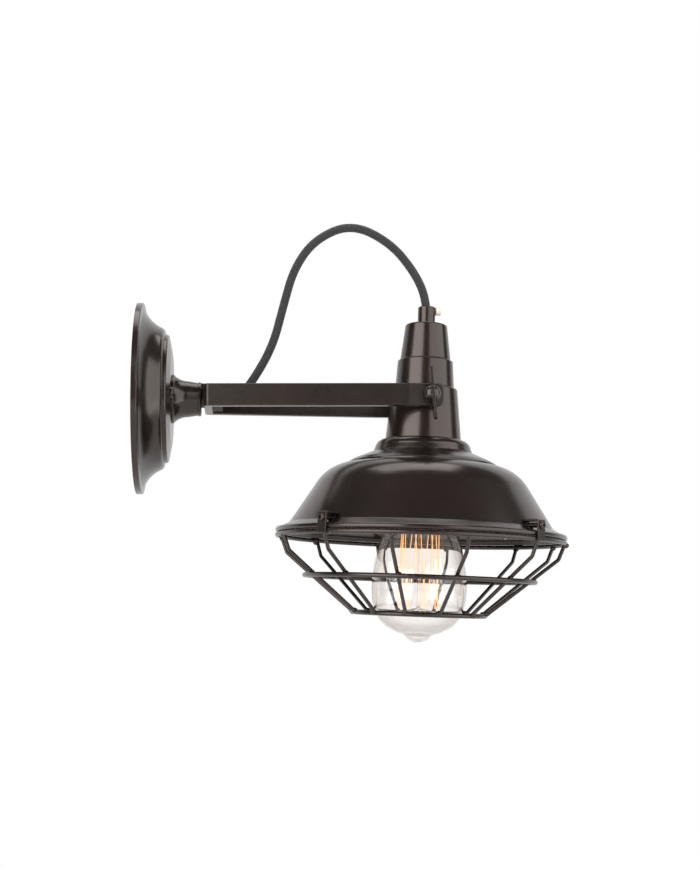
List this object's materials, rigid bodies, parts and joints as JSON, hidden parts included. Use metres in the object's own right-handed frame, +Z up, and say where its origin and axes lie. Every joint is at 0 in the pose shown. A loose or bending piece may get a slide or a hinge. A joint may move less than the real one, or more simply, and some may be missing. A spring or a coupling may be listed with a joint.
{
  "type": "cage wall light",
  "caption": "Wall light with a round wall plate, forked arm, tilting stepped neck, spun shade and wire cage round a clear bulb.",
  "frame": {"origin": "centre of the wall plate on the wall", "axes": "+X out of the wall along the arm, +Z up"},
  "size_m": [0.288, 0.1958, 0.2865],
  "materials": {
    "black_paint": "satin",
    "zinc": "satin",
    "raw_steel": "satin",
    "brass": "satin",
    "nylon": "satin",
    "textile_cord": "woven",
    "porcelain": "glazed",
    "phenolic": "satin",
    "clear_glass": "clear",
    "filament": "glowing",
    "insulated_wire": "gloss"
  },
  "bodies": {
    "wall_arm": {"wall_plate": "black_paint", "wall_bracket": "raw_steel", "plate_screws": "black_paint", "knuckle": "black_paint", "knuckle_tube": "zinc", "tube_washer": "zinc", "tube_nut": "zinc", "lock_plate": "black_paint", "coupling_nut": "black_paint", "arm_fork": "black_paint", "outer_washers": "black_paint", "terminal_block": "nylon", "terminal_screws": "zinc", "plate_wires": "insulated_wire", "cord": "textile_cord"},
    "lamp_head": {"pivot_bolts": "zinc", "friction_washers": "black_paint", "neck_casting": "black_paint", "shade_cap": "black_paint", "shade": "black_paint", "shade_rings": "phenolic", "entry_nipple": "zinc", "nipple_nuts": "zinc", "cord_grip": "black_paint", "holder_body": "phenolic", "holder_dome": "phenolic", "holder_core": "porcelain", "screw_shell": "brass", "centre_contact": "brass", "holder_terminals": "brass", "holder_wires": "insulated_wire", "cage_top_ring": "black_paint", "cage_mid_ring": "black_paint", "cage_bottom_ring": "black_paint", "cage_clips": "black_paint", "clip_screws": "zinc", "clip_nuts": "zinc", "cage_rib_01": "black_paint", "cage_rib_02": "black_paint", "cage_rib_03": "black_paint", "cage_rib_04": "black_paint", "cage_rib_05": "black_paint", "cage_rib_06": "black_paint", "cage_rib_07": "black_paint", "cage_rib_08": "black_paint", "cage_rib_09": "black_paint", "cage_rib_10": "black_paint", "cage_rib_11": "black_paint", "cage_rib_12": "black_paint"},
    "wing_nut_front": {"wing_nut_front": "black_paint"},
    "wing_nut_rear": {"wing_nut_rear": "black_paint"},
    "grip_screw": {"grip_screw": "nylon"},
    "bulb": {"bulb_glass": "clear_glass", "bulb_cap": "brass", "bulb_insulator": "phenolic", "bulb_contact": "zinc", "bulb_stem": "clear_glass", "filament": "filament", "filament_hooks": "zinc"}
  },
  "joints": [
    {"name": "head_tilt", "type": "hinge", "parent": "wall_arm", "child": "lamp_head", "pos_m": [0.1938, 0, 0], "axis": [0, 1, 0], "range_deg": [-90, 30], "deforming": ["cord"]},
    {"name": "wing_nut_front_turn", "type": "hinge", "parent": "lamp_head", "child": "wing_nut_front", "pos_m": [0.1938, 0, 0], "axis": [0, -1, 0], "range_deg": [-30, 720]},
    {"name": "wing_nut_rear_turn", "type": "hinge", "parent": "lamp_head", "child": "wing_nut_rear", "pos_m": [0.1938, 0, 0], "axis": [0, 1, 0], "range_deg": [-30, 720]},
    {"name": "grip_screw_turn", "type": "hinge", "parent": "lamp_head", "child": "grip_screw", "pos_m": [0.19634, 0, 0.06325], "axis": [0.9992, 0, -0.0401], "range_deg": [0, 720]},
    {"name": "bulb_out", "type": "slide", "parent": "lamp_head", "child": "bulb", "axis": [-0.0401, 0, -0.9992], "range_m": [0, 0.13]}
  ]
}
